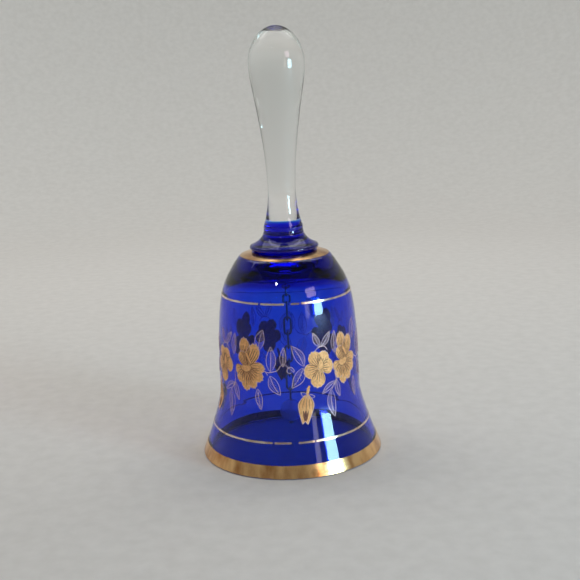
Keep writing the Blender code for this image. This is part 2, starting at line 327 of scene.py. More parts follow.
@dataclass(frozen=True)
class GlassFinish(Finish):
    """Fire-polished glass, coloured through its depth."""

    name: str
    # Absorption of red, green and blue, to the metre.
    absorption: Colour
    ripple: float = 0.012 * MM
    ripple_scale: float = 60.0
    ior: float = 1.5
    # Plain glass has 0.5. Less of it keeps the pale room from hazing over the colour.
    sheen: float = 0.22
    fused: FusedSide = FusedSide.NONE
    top: float = 0.0
    foot: float = 0.0
    reach: float = 0.0

    def fused_mask(self, nodes: Nodes) -> Socket:
        """One on the fused flat ends within reach of the axis, and nought elsewhere."""
        split = nodes.add("SeparateXYZ")
        nodes.link(nodes.object_coords(), split.inputs[0])
        x, y, z = split.outputs
        squared = nodes.math("ADD", nodes.math("MULTIPLY", x, x), nodes.math("MULTIPLY", y, y))
        inside = nodes.math("LESS_THAN", squared, self.reach**2)
        margin = 0.01 * MM
        above = nodes.math("GREATER_THAN", z, self.top - margin)
        below = nodes.math("LESS_THAN", z, self.foot + margin)
        side = {
            FusedSide.TOP: above,
            FusedSide.FOOT: below,
            FusedSide.BOTH: nodes.math("MAXIMUM", above, below),
        }[self.fused]
        return nodes.math("MULTIPLY", inside, side)

    def build(self, nodes: Nodes) -> None:
        """Clear shader over a depth of colour, with faint ripples in the surface."""
        shader = nodes.add("BsdfPrincipled")
        shader.inputs["Base Color"].default_value = (1.0, 1.0, 1.0, 1.0)
        shader.inputs["Roughness"].default_value = 0.0
        shader.inputs["Transmission Weight"].default_value = 1.0
        shader.inputs["IOR"].default_value = self.ior
        shader.inputs["Specular IOR Level"].default_value = self.sheen
        if self.fused is not FusedSide.NONE:
            ior = nodes.math("MULTIPLY_ADD", self.fused_mask(nodes), 1.0 - self.ior, self.ior)
            nodes.link(ior, shader.inputs["IOR"])
        ripples = nodes.noise(self.ripple_scale, 1.0)
        nodes.link(nodes.bump(ripples, self.ripple), shader.inputs["Normal"])
        nodes.link(shader.outputs[0], nodes.output.inputs["Surface"])
        most = max(self.absorption)
        if most > 0:
            depth = nodes.add("VolumeAbsorption")
            depth.inputs["Density"].default_value = most
            depth.inputs["Color"].default_value = (*[1 - rate / most for rate in self.absorption], 1.0)
            nodes.link(depth.outputs[0], nodes.output.inputs["Volume"])


@dataclass(frozen=True)
class GiltFinish(Finish):
    """Bright fired gilding, brushed round the bell, with darker brown streaks and blotches across it."""

    name: str = "fired_gilding"
    gold: Colour = (0.96, 0.60, 0.28)
    brown: Colour = (0.52, 0.24, 0.09)
    # Least and most.
    roughness: tuple[float, float] = (0.10, 0.24)

    def build(self, nodes: Nodes) -> None:
        """Gold with brush marks round the ring and darker streaks across it."""
        shader = nodes.add("BsdfPrincipled")
        shader.inputs["Metallic"].default_value = 1.0
        across = nodes.noise(260.0, 4.0, nodes.object_coords((1.0, 1.0, 0.12)))
        round_marks = nodes.noise(1500.0, 3.0, nodes.object_coords((0.10, 0.10, 1.0)))
        blotches = nodes.noise(90.0, 4.0)
        # Darker brown streaks up the band, mixed with blotches, set each spot's colour between brown and
        # gold.
        streaks_and_blotches = nodes.math("MULTIPLY_ADD", across, 0.6, nodes.math("MULTIPLY", blotches, 0.4))
        middle = tuple((a + b) / 2 for a, b in zip(self.gold, self.brown))
        colour = nodes.ramp(streaks_and_blotches, (0.36, self.brown), (0.47, middle), (0.58, self.gold))
        nodes.link(colour, shader.inputs["Base Color"])
        rough = nodes.range(nodes.math("ADD", across, round_marks), 0.7, 1.3, *self.roughness)
        nodes.link(rough, shader.inputs["Roughness"])
        nodes.link(nodes.bump(round_marks, 0.02 * MM, 0.5), shader.inputs["Normal"])
        nodes.link(shader.outputs[0], nodes.output.inputs["Surface"])


@dataclass(frozen=True)
class PlainMetal(Finish):
    """Drawn or rolled metal with fine dulling."""

    name: str
    colour: Colour
    dull: Colour
    # Least and most.
    roughness: tuple[float, float] = (0.22, 0.45)
    scale: float = 900.0
    metallic: float = 1.0

    def build(self, nodes: Nodes) -> None:
        """Metal mottled between its bright and its dull colour."""
        shader = nodes.add("BsdfPrincipled")
        shader.inputs["Metallic"].default_value = self.metallic
        grain = nodes.noise(self.scale, 4.0)
        nodes.link(nodes.ramp(grain, (0.38, self.dull), (0.6, self.colour)), shader.inputs["Base Color"])
        rough = nodes.range(grain, 0.35, 0.65, self.roughness[1], self.roughness[0])
        nodes.link(rough, shader.inputs["Roughness"])
        nodes.link(nodes.bump(grain, 0.01 * MM, 0.6), shader.inputs["Normal"])
        nodes.link(shader.outputs[0], nodes.output.inputs["Surface"])


@dataclass(frozen=True)
class MattFinish(Finish):
    """A dry, matt surface such as set cement or cloth."""

    name: str
    light: Colour
    dark: Colour
    scale: float
    relief: float

    def build(self, nodes: Nodes) -> None:
        """Diffuse colour with a grain that catches the light."""
        shader = nodes.add("BsdfPrincipled")
        shader.inputs["Roughness"].default_value = 0.95
        shader.inputs["Specular IOR Level"].default_value = 0.1
        grain = nodes.noise(self.scale, 5.0)
        nodes.link(nodes.ramp(grain, (0.3, self.dark), (0.7, self.light)), shader.inputs["Base Color"])
        nodes.link(nodes.bump(grain, self.relief, 0.7), shader.inputs["Normal"])
        nodes.link(shader.outputs[0], nodes.output.inputs["Surface"])


# Absorption of red, green and blue in cobalt glass, to the metre.
COBALT_ABSORPTION = (1700.0, 700.0, 36.0)
GILT = GiltFinish()
PALE_GILT = GiltFinish("pale_fired_gilding", (1.0, 0.84, 0.70), (0.62, 0.42, 0.30), (0.14, 0.26))
BRASS = PlainMetal("chain_brass", (0.74, 0.56, 0.26), (0.42, 0.30, 0.12))
CEMENT = MattFinish("set_cement", (0.80, 0.78, 0.72), (0.66, 0.64, 0.58), 700.0, 0.05 * MM)
PETAL_GOLD = PlainMetal("petal_gold", (0.96, 0.54, 0.24), (0.76, 0.38, 0.15), (0.38, 0.52), 1400.0, 0.4)
ENGRAVING = PlainMetal("engraved_brown", (0.26, 0.10, 0.05), (0.13, 0.05, 0.04), (0.4, 0.6), 1800.0, 0.2)
PALE_GOLD = PlainMetal("pale_gold_line", (0.86, 0.62, 0.62), (0.62, 0.42, 0.46), (0.28, 0.42), 1100.0, 0.35)
THIN_GOLD = PlainMetal("thin_gold_hatching", (0.62, 0.46, 0.52), (0.36, 0.24, 0.34), (0.35, 0.5), 1500.0, 0.6)
BEAD_GLASS = GlassFinish("bead_glass", (14.0, 8.0, 6.0), 0.02 * MM, 220.0)


# ---------------------------------------------------------------- glass


def ride_and_stand(piece: bpy.types.Object, body: str, slot: str, *nodes: str) -> bpy.types.Object:
    """Puts a piece on its body, hides the nodes that it stands for, and reports it.

    Args:
        piece: The finished piece, in place.
        body: The body it moves with.
        slot: The material slot it takes its finish from. Not used.
        *nodes: The nodes it stands for.

    Returns:
        The piece.
    """
    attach(piece, body)
    if nodes:
        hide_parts(*nodes)
    faces = len(piece.data.polygons) if piece.type == "MESH" else 0
    LOG.info("%s rides on %s, %d faces", piece.name, body, faces)
    return piece


@dataclass
class BellBody:
    """The blown cobalt body: its outline, its wall and its crown."""

    height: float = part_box("bell_body")[1].z
    mouth_radius: float = 35.85 * MM
    waist_radius: float = 27.8 * MM
    wall: float = 2.2 * MM
    flare_height: float = 25.5 * MM
    flare_power: float = 1.28
    crown_thickness: float = 4.6 * MM
    crown_flat_radius: float = 12.2 * MM
    dome_depth: float = 12.4 * MM
    lip_round: float = 0.7 * MM
    segments: int = 160
    # Depth below the crown, and how far the outside lies inside the waist there.
    shoulder: tuple[Point2, ...] = tuple(
        (depth * MM, inset * MM)
        for depth, inset in (
            (0.0, 15.6), (0.5, 13.6), (1.4, 10.7), (2.8, 9.2), (6.4, 6.8), (10.5, 4.5), (14.7, 2.9),
            (19.0, 1.9), (25.0, 1.1), (33.0, 0.5), (46.0, 0.1), (55.1, 0.0),
        )
    )

    def outer_radius(self, height: float) -> float:
        """Outside radius at a height above the mouth."""
        flare = max(0.0, 1.0 - height / self.flare_height) ** self.flare_power
        radius = self.waist_radius + (self.mouth_radius - self.waist_radius) * flare
        return radius - smooth_value(self.shoulder, self.height - height)

    def inner_radius(self, height: float) -> float:
        """Inside radius at a height above the mouth, below the domed ceiling."""
        return self.outer_radius(height) - self.wall

    def on_surface(self, azimuth: float, height: float, lift: float = 0.0) -> Vector:
        """A point on the outside.

        Args:
            azimuth: Degrees round from the front, towards the right.
            height: Height above the mouth.
            lift: Distance off the glass.

        Returns:
            The point.
        """
        step = 0.05 * MM
        slope = (self.outer_radius(height + step) - self.outer_radius(height - step)) / (2 * step)
        length = math.hypot(1.0, slope)
        radius = self.outer_radius(height) + lift / length
        angle = math.radians(azimuth)
        return Vector((radius * math.sin(angle), -radius * math.cos(angle), height - lift * slope / length))

    def profile(self) -> Profile:
        """Down the outside, round the lip, and up the inside to the ceiling."""
        fine = [self.height - (0.15 + 0.35 * i) * MM for i in range(12)]
        coarse_steps = 86
        low, high = self.lip_round, fine[-1]
        coarse = [high + (low - high) * (i + 1) / coarse_steps for i in range(coarse_steps)]
        lip = self.outer_radius(self.lip_round)
        points = [(0.0, self.height), (self.crown_flat_radius * 0.5, self.height)]
        points += [(self.crown_flat_radius * 0.97, self.height)]
        points += [(self.outer_radius(z), z) for z in fine + coarse]
        points += arc((lip - self.lip_round, self.lip_round), (self.lip_round,) * 2, -15, -90, 5)
        inner = lip - self.wall
        half_round = self.lip_round * 0.5
        points += arc((inner + half_round, half_round), (half_round,) * 2, -90, -180, 5)
        dome_base = self.height - self.crown_thickness - self.dome_depth
        points += [(self.inner_radius(z), z) for z in reversed(coarse[:-1]) if z < dome_base]
        dome = arc((0.0, dome_base), (self.inner_radius(dome_base), self.dome_depth), 0, 90, 24)
        return points + dome[:-1] + [(0.0, dome_base + self.dome_depth)]

    def build(self, seat_radius: float) -> bpy.types.Object:
        """Builds the body.

        Args:
            seat_radius: Radius of the disc on the crown that the collar is fused to.

        Returns:
            The glass body.
        """
        glass = GlassFinish(
            "cobalt_body_glass", COBALT_ABSORPTION, fused=FusedSide.TOP, top=self.height, reach=seat_radius
        )
        mesh = finish_mesh("bell_body_glass", revolve(self.profile(), self.segments))
        return ride_and_stand(link_object("bell_body_glass", mesh, glass), BELL, "cobalt_glass", "bell_body")


@dataclass
class Collar:
    """The flared blue foot under the handle, with its thin rounded disc."""

    base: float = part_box("bell_body")[1].z + SLIVER
    top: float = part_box("collar")[1].z
    radius: float = 13.4 * MM
    seat_radius: float = 11.7 * MM
    top_radius: float = 7.6 * MM
    disc_thickness: float = 2.1 * MM
    disc_edge: float = 0.9 * MM
    segments: int = 128

    def profile(self) -> Profile:
        """Down the flare, round the disc's edge and in under it."""
        disc_top = self.base + self.disc_thickness + SOLID_GAP
        flare = self.top - disc_top
        points = [(0.0, self.top), (self.top_radius * 0.6, self.top), (self.top_radius, self.top)]
        steps = 24
        shoulder = self.radius - self.disc_edge
        for step in range(1, steps + 1):
            t = step / steps
            reach = self.top_radius + (shoulder - self.top_radius) * t**2.6
            points.append((reach, self.top - flare * t**0.9))
        half = self.disc_thickness * 0.42
        points += arc((shoulder, disc_top - half), (self.disc_edge, half), 80, -70, 12)
        points += [(self.seat_radius + 0.25 * MM, self.base + 0.22 * MM), (self.seat_radius, self.base)]
        return points + [(self.seat_radius * 0.5, self.base), (0.0, self.base)]

    def build(self) -> bpy.types.Object:
        """The collar, fused at its top and its foot."""
        glass = GlassFinish(
            "cobalt_collar_glass", COBALT_ABSORPTION, fused=FusedSide.BOTH, top=self.top, foot=self.base,
            reach=self.seat_radius,
        )
        mesh = finish_mesh("collar_glass", revolve(self.profile(), self.segments))
        return ride_and_stand(link_object("collar_glass", mesh, glass), BELL, "cobalt_glass", "collar")


@dataclass
class Handle:
    """The solid clear drop on its flared foot."""

    base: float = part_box("collar")[1].z + SLIVER
    top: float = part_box("handle")[1].z
    foot_radius: float = 7.6 * MM
    neck_radius: float = 5.35 * MM
    neck_height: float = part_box("collar")[1].z + 15.1 * MM
    belly_radius: float = 10.65 * MM
    belly_below_top: float = 14.0 * MM
    foot_power: float = 2.3
    drop_rise: float = 4.35
    drop_swell: float = 0.374
    segments: int = 128

    def profile(self) -> Profile:
        """Over the belly, down the taper to the neck, and out to the foot."""
        belly = self.top - self.belly_below_top
        cap = arc((0.0, belly), (self.belly_radius, self.belly_below_top), 90, 0, 32)
        points = [(0.0, self.top)] + cap[1:]
        steps = 90
        for step in range(1, steps + 1):
            t = 1 - step / steps
            swell = math.sin(math.pi / 2 * t**self.drop_rise) ** self.drop_swell
            radius = self.neck_radius + (self.belly_radius - self.neck_radius) * swell
            points.append((radius, self.neck_height + (belly - self.neck_height) * t))
        steps = 26
        for step in range(1, steps + 1):
            t = step / steps
            radius = self.neck_radius + (self.foot_radius - self.neck_radius) * t**self.foot_power
            points.append((radius, self.neck_height + (self.base - self.neck_height) * t))
        return points + [(self.foot_radius * 0.5, self.base), (0.0, self.base)]

    def build(self) -> bpy.types.Object:
        """The handle, fused at its foot."""
        glass = GlassFinish(
            "clear_handle_glass", (2.2, 1.2, 1.6), 0.03 * MM, 45.0, fused=FusedSide.FOOT, foot=self.base,
            reach=self.foot_radius,
        )
        mesh = finish_mesh("handle_glass", revolve(self.profile(), self.segments))
        return ride_and_stand(link_object("handle_glass", mesh, glass), BELL, "clear_glass", "handle")


# ---------------------------------------------------------------- decoration


class BladeShape(Enum):
    """How a petal or leaf swells between its base and its tip."""

    PETAL = "petal"
    LEAF = "leaf"
    DROP = "drop"
    BUD = "bud"

    def half_width(self, share: float) -> float:
        """Half width as a share of the widest, at a share of the length from the base."""
        if self is BladeShape.PETAL:
            rise = 0.25 + 0.75 * math.sin(math.pi / 2 * min(1.0, share / 0.62))
            return rise * math.sqrt(1.0 - 0.62 * (2.0 * max(0.0, share - 0.5)) ** 3)
        if self is BladeShape.LEAF:
            return math.sin(math.pi * share**0.86) ** 0.92 if 0.0 < share < 1.0 else 0.0
        if self is BladeShape.DROP:
            return math.sqrt(max(0.0, 1.0 - (share / 0.34 - 1.0) ** 2)) if share < 0.34 else (
                math.cos(math.pi / 2 * (share - 0.34) / 0.66) ** 1.1 if share < 1.0 else 0.0
            )
        rise = 0.25 + 0.75 * math.sin(math.pi / 2 * min(1.0, share / 0.38))
        return rise * (1.0 - 0.68 * max(0.0, (share - 0.38) / 0.62) ** 1.25)


@dataclass
class Blade:
    """A petal or leaf drawn flat, in metres, from its base to its tip."""

    base: Point2
    tip: Point2
    half_width: float
    shape: BladeShape
    bend: float = 0.0
    scallop: float = 0.0

    def point(self, share: float, side: float) -> Point2:
        """A point of the blade.

        Args:
            share: From nought at the base to one at the tip.
            side: From minus one at the left edge to one at the right.

        Returns:
            The point in the drawing.
        """
        along = (self.tip[0] - self.base[0], self.tip[1] - self.base[1])
        length = math.hypot(*along)
        across = (along[1] / length, -along[0] / length)
        reach = share
        if self.shape is BladeShape.PETAL:
            ruffle = self.scallop * math.cos(2.6 * math.pi * side) * share**3
            reach *= 1.0 - 0.11 * side**2 * share**2 + ruffle
        if self.shape is BladeShape.BUD:
            reach *= 1.0 - 0.10 * (1.0 - abs(side)) * share**4
        offset = side * self.half_width * self.shape.half_width(share)
        offset += self.bend * math.sin(math.pi * share)
        return (
            self.base[0] + along[0] * reach + across[0] * offset,
            self.base[1] + along[1] * reach + across[1] * offset,
        )

    def outline(self, steps: int = 14) -> list[Point2]:
        """Up the left edge, over the tip and down the right edge."""
        left = [self.point(i / steps, -1.0) for i in range(steps + 1)]
        over = []
        if self.shape in (BladeShape.PETAL, BladeShape.BUD):
            over = [self.point(1.0, -1.0 + i / 5) for i in range(1, 10)]
        right = [self.point(1.0 - i / steps, 1.0) for i in range(steps + 1)]
        return left + over + right[(0 if over else 1):]


@dataclass
class Relief:
    """Thin plates and ribbons of fired enamel that follow the bell, gathered in one mesh."""

    body: BellBody
    azimuth: float
    height: float
    shape: bmesh.types.BMesh = field(default_factory=bmesh.new)

    def place(self, point: Point2, lift: float) -> Vector:
        """A drawing point on the bell, lift above the glass."""
        radius = self.body.outer_radius(self.height)
        azimuth = self.azimuth + math.degrees(point[0] / radius)
        return self.body.on_surface(azimuth, self.height + point[1], lift)

    def plate(self, rows: list[list[Point2]], low: float, high: float) -> None:
        """A thin closed plate over a grid.

        Args:
            rows: Rows of drawing points, all of one length.
            low: Lift of its underside.
            high: Lift of its face.
        """
        under = [[self.shape.verts.new(self.place(p, low)) for p in row] for row in rows]
        over = [[self.shape.verts.new(self.place(p, high)) for p in row] for row in rows]
        last, end = len(rows) - 1, len(rows[0]) - 1
        for i in range(last):
            for j in range(end):
                self.face(over[i][j], over[i + 1][j], over[i + 1][j + 1], over[i][j + 1])
                self.face(under[i][j], under[i][j + 1], under[i + 1][j + 1], under[i + 1][j])
            for j in (0, end):
                self.face(under[i][j], under[i + 1][j], over[i + 1][j], over[i][j])
        for i in (0, last):
            for j in range(end):
                self.face(under[i][j], over[i][j], over[i][j + 1], under[i][j + 1])

    def face(self, *corners: bmesh.types.BMVert) -> None:
        """One face."""
        self.shape.faces.new(corners)

    def fill(self, blade: Blade, low: float, high: float, spread: tuple[float, float] = (0.02, 1.0)) -> None:
        """A blade's plate between two shares of its length."""
        steps, columns = 12, 8
        rows = []
        for i in range(steps + 1):
            share = spread[0] + (spread[1] - spread[0]) * i / steps
            if blade.shape in (BladeShape.LEAF, BladeShape.DROP):
                share = min(max(share, 0.02), 0.985)
            rows.append([blade.point(share, -1.0 + 2.0 * j / columns) for j in range(columns + 1)])
        self.plate(rows, low, high)

    def ribbon(self, line: list[Point2], width: float, low: float, high: float, taper: float = 0.6) -> None:
        """A thin closed ribbon along a line.

        Args:
            line: Drawing points.
            width: Full width at its middle.
            low: Lift of its underside.
            high: Lift of its face.
            taper: Share of the width that is left at its ends.
        """
        rings = []
        count = len(line) - 1
        for i, (x, y) in enumerate(line):
            (x0, y0), (x1, y1) = line[max(i - 1, 0)], line[min(i + 1, count)]
            length = math.hypot(x1 - x0, y1 - y0) or 1.0
            half = width / 2 * (taper + (1 - taper) * math.sin(math.pi * i / count))
            nx, ny = -(y1 - y0) / length * half, (x1 - x0) / length * half
            sides = ((x + nx, y + ny), (x - nx, y - ny))
            corners = [(sides[0], low), (sides[0], high), (sides[1], high), (sides[1], low)]
            rings.append([self.shape.verts.new(self.place(p, lift)) for p, lift in corners])
        for first, second in zip(rings[:-1], rings[1:]):
            for j in range(4):
                after = (j + 1) % 4
                self.face(first[j], second[j], second[after], first[after])
        self.face(*rings[0])
        self.face(*reversed(rings[-1]))

    def mesh(self, name: str) -> bpy.types.Mesh:
        """The gathered mesh, with every closed piece facing outwards."""
        bmesh.ops.recalc_face_normals(self.shape, faces=self.shape.faces)
        return finish_mesh(name, self.shape, 50.0)


FILM = (0.02 * MM, 0.06 * MM)
LINE = (0.06 * MM, 0.085 * MM)
EDGE = (0.02 * MM, 0.10 * MM)


def polar(centre: Point2, angle: float, length: float) -> Point2:
    """The point length away from centre, at an angle in degrees clockwise from up."""
    turn = math.radians(angle)
    return (centre[0] + length * math.sin(turn), centre[1] + length * math.cos(turn))


def veins(blade: Blade, relief: Relief, count: int, reach: float, width: float, rng: random.Random) -> None:
    """Engraved lines that run out along a petal.

    Args:
        blade: The petal.
        relief: The mesh that takes the lines.
        count: Number of lines.
        reach: Share of the petal that the longest covers.
        width: Width of each line.
        rng: Source of their uneven lengths.
    """
    for index in range(count):
        side = -0.86 + 1.72 * index / (count - 1)
        end = reach * (0.72 + 0.28 * rng.random())
        line = [blade.point(0.06 + (end - 0.06) * i / 7, side * (0.9 + 0.1 * i / 7)) for i in range(8)]
        relief.ribbon(line, width, *LINE, taper=0.45)


@dataclass
class FlowerSpray:
    """One gilt transfer: an open flower, a side flower, a bud and outlined leaves between them."""

    number: int
    angle: float
    side_turn: float
    body: BellBody
    base_height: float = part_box("bud_1")[0].z
    open_rise: float = 20.7 * MM
    side_rise: float = 22.1 * MM
    bud_rise: float = 6.4 * MM
    open_turn: float = -14.0
    bud_turn: float = -26.0
    line_width: float = 0.23 * MM
    # Angle clockwise from up, length and half width of each petal of the open flower.
    open_petals: tuple[tuple[float, float, float], ...] = (
        (-104, 6.3, 2.9), (-25, 6.9, 2.6), (24, 6.6, 2.6), (88, 5.9, 3.0), (-171, 7.6, 3.0),
    )
    # The same for the fan of the side flower, round its half disc.
    fan_petals: tuple[tuple[float, float, float], ...] = (
        (-118, 5.4, 2.4), (-152, 6.9, 2.4), (179, 9.0, 2.4), (154, 8.7, 2.3), (122, 8.3, 2.7), (90, 8.1, 2.3),
    )
    # Base and tip as (degrees from the spray's middle, height above its foot in mm), then half width and
    # bend in mm.
    leaves: tuple[tuple[Point2, Point2, float, float], ...] = (
        ((-26.6, 22.1), (-36.0, 30.1), 1.75, 0.5), ((-27.4, 21.4), (-36.6, 14.0), 1.9, -0.5),
        ((-12.8, 28.6), (-18.2, 34.2), 1.15, -0.2), ((-11.6, 28.6), (-3.0, 33.8), 1.15, 0.2),
        ((0.4, 25.4), (1.6, 33.8), 1.25, -0.3), ((0.4, 14.2), (-12.6, 10.4), 1.2, 0.4),
        ((-4.6, 11.4), (-3.2, 0.9), 1.8, 0.2), ((1.2, 14.8), (4.4, 7.8), 1.15, 0.3),
        ((24.6, 28.5), (28.6, 36.1), 1.9, -0.3), ((23.0, 13.4), (25.4, 5.3), 1.35, 0.2),
        ((34.0, 20.4), (34.9, 29.8), 1.85, 0.2), ((33.6, 18.7), (41.3, 11.4), 1.9, 0.5),
        ((44.2, 22.3), (45.2, 29.6), 1.15, -0.2),
    )

    def flat(self, degrees: float, rise: float) -> Point2:
        """A leaf's point in the drawing whose origin is the spray's middle, at its foot."""
        return (math.radians(degrees) * self.body.outer_radius(self.middle_height), rise * MM)

    @property
    def middle_height(self) -> float:
        """The height at which the drawing's widths are true."""
        return self.base_height + self.open_rise

    def open_flower(self, gold: Relief, lines: Relief, edges: Relief, rng: random.Random) -> None:
        """Five ruffled petals round a teardrop."""
        for angle, length, half in self.open_petals:
            base, tip = polar((0, 0), angle, 0.35 * MM), polar((0, 0), angle, length * MM)
            petal = Blade(base, tip, half * MM, BladeShape.PETAL, scallop=0.035)
            gold.fill(petal, *FILM)
            veins(petal, lines, 6, 0.74, 0.20 * MM, rng)
            edges.ribbon(petal.outline()[11:-11], 0.20 * MM, *EDGE, taper=0.5)
        drop = Blade((0.55 * MM, -0.8 * MM), (0.75 * MM, 3.9 * MM), 1.15 * MM, BladeShape.DROP)
        gold.fill(drop, FILM[1], LINE[1] + 0.02 * MM)
        lines.ribbon(drop.outline(), 0.16 * MM, LINE[0], LINE[1] + 0.04 * MM)
        for angle in range(-70, 251, 40):
            dot = polar((0.5 * MM, -0.2 * MM), angle, 1.9 * MM)
            end = polar(dot, angle, 0.5 * MM)
            lines.ribbon([dot, end], 0.28 * MM, *LINE)

    def side_flower(self, gold: Relief, lines: Relief, edges: Relief, rng: random.Random) -> None:
        """A fan of petals below a solid half disc, a pistil, and three petals behind it."""
        heart = (-1.6 * MM, -0.7 * MM)
        upper = (
            Blade((-1.3 * MM, 2.0 * MM), (-2.3 * MM, 10.4 * MM), 2.5 * MM, BladeShape.PETAL, scallop=0.04),
            Blade((-0.6 * MM, -0.3 * MM), (3.3 * MM, 8.4 * MM), 2.8 * MM, BladeShape.PETAL, scallop=0.05),
            Blade((-1.0 * MM, -0.9 * MM), (-3.9 * MM, 5.1 * MM), 2.3 * MM, BladeShape.PETAL, scallop=0.03),
        )
        for petal in upper:
            gold.fill(petal, *FILM)
            veins(petal, lines, 6, 0.86, 0.26 * MM, rng)
            edges.ribbon(petal.outline()[6:-6], 0.18 * MM, *EDGE, taper=0.5)
        for angle, length, half in self.fan_petals:
            petal = Blade(polar(heart, angle, 1.0 * MM), polar(heart, angle, length * MM), half * MM,
                          BladeShape.PETAL, scallop=0.04)
            gold.fill(petal, *FILM)
            veins(petal, lines, 5, 0.78, 0.20 * MM, rng)
            edges.ribbon(petal.outline()[11:-11], 0.20 * MM, *EDGE, taper=0.5)
        rows = []
        for i in range(7):
            row = [polar(heart, 96 + 164 * j / 12, (0.2 + 2.5 * i / 6) * MM) for j in range(13)]
            rows.append([(x, y + 0.7 * MM) for x, y in row])
        gold.plate(rows, FILM[1], LINE[1] + 0.02 * MM)
        lines.ribbon(rows[-1], 0.20 * MM, LINE[0], LINE[1] + 0.03 * MM)
        pistil = Blade((1.1 * MM, 0.6 * MM), (-1.9 * MM, 5.9 * MM), 0.62 * MM, BladeShape.LEAF)
        gold.fill(pistil, FILM[1], LINE[1] + 0.02 * MM)
        lines.ribbon(pistil.outline(), 0.14 * MM, LINE[0], LINE[1] + 0.03 * MM)

    def bud(self, gold: Relief, lines: Relief, edges: Relief, rng: random.Random) -> None:
        """A hanging bud with a dark heart, two sepals and a stem up to the open flower."""
        cup = Blade((0.5 * MM, 4.5 * MM), (-1.0 * MM, -6.5 * MM), 3.1 * MM, BladeShape.BUD)
        gold.fill(cup, *FILM)
        edges.ribbon(cup.outline(), 0.22 * MM, *EDGE)
        veins(cup, lines, 5, 0.62, 0.18 * MM, rng)
        for side in (-0.36, 0.0, 0.36):
            line = [cup.point(0.56 + 0.40 * i / 7, side * (1 - 0.5 * i / 7)) for i in range(8)]
            lines.ribbon(line, (1.15 if side == 0.0 else 0.7) * MM, *LINE, taper=0.35)
        stem = [(0.5 * MM, 4.0 * MM), (0.7 * MM, 5.4 * MM), (1.0 * MM, 6.8 * MM), (1.5 * MM, 7.9 * MM)]
        gold.ribbon(stem, 1.1 * MM, *FILM, taper=0.7)
        for tip in ((-1.9 * MM, 5.6 * MM), (3.5 * MM, 3.5 * MM)):
            sepal = Blade((0.4 * MM, 3.9 * MM), tip, 0.75 * MM, BladeShape.LEAF)
            edges.ribbon(sepal.outline(), 0.20 * MM, *EDGE)

    def leaf(self, blade: Blade, edges: Relief, hatching: Relief, rng: random.Random) -> None:
        """An outlined leaf with a midrib, and fine hatching on both sides of it."""
        edges.ribbon(blade.outline(), self.line_width, *EDGE)
        edges.ribbon([blade.point(0.02 + 0.86 * i / 8, 0.0) for i in range(9)], 0.20 * MM, *EDGE)
        length = math.hypot(blade.tip[0] - blade.base[0], blade.tip[1] - blade.base[1])
        count = max(5, round(length / (0.85 * MM)))
        for index in range(count):
            share = 0.12 + 0.68 * index / (count - 1)
            for side in (-1.0, 1.0):
                if side < 0 and index % 2:
                    continue
                far = (0.80 if side > 0 else 0.50) + 0.16 * rng.random()
                line = [blade.point(share + 0.09 * i / 3, side * far * i / 3) for i in range(4)]
                hatching.ribbon(line, 0.14 * MM, *FILM)

    def tendrils(self, edges: Relief) -> None:
        """The stems between the leaves, and a curl at the spray's end."""
        def sweep(*points: Point2) -> list[Point2]:
            """A smooth line through (degrees, rise) points."""
            steps = 6
            knots_x = tuple((float(i), p[0]) for i, p in enumerate(points))
            knots_y = tuple((float(i), p[1]) for i, p in enumerate(points))
            total = (len(points) - 1) * steps
            return [
                self.flat(smooth_value(knots_x, i / steps), smooth_value(knots_y, i / steps))
                for i in range(total + 1)
            ]

        stems = (
            sweep((30.5, 20.5), (34.0, 20.0), (38.0, 20.3), (42.0, 21.0), (44.4, 22.6)),
            sweep((33.6, 18.9), (32.0, 20.2), (29.0, 21.0)),
            sweep((-27.0, 21.8), (-25.4, 21.9)),
            sweep((0.8, 14.4), (1.2, 16.8), (0.6, 19.0)),
            sweep((-3.6, 11.4), (-1.6, 13.2), (0.6, 14.6)),
            sweep((-12.2, 28.8), (-15.4, 28.4), (-18.4, 27.2)),
            sweep((-12.2, 28.8), (-9.2, 28.5), (-6.4, 27.0)),
        )
        for line in stems:
            edges.ribbon(line, 0.30 * MM, *EDGE)
        centre = self.flat(52.2, 20.6)
        steps, stem_end = 28, 6
        curl = [
            polar(centre, 200.0 - 420.0 * i / steps, (2.0 - 1.25 * i / steps) * MM)
            for i in range(stem_end, steps + 1)
        ]
        edges.ribbon([self.flat(44.6, 22.6), self.flat(47.5, 23.4)] + curl, 0.30 * MM, *EDGE)

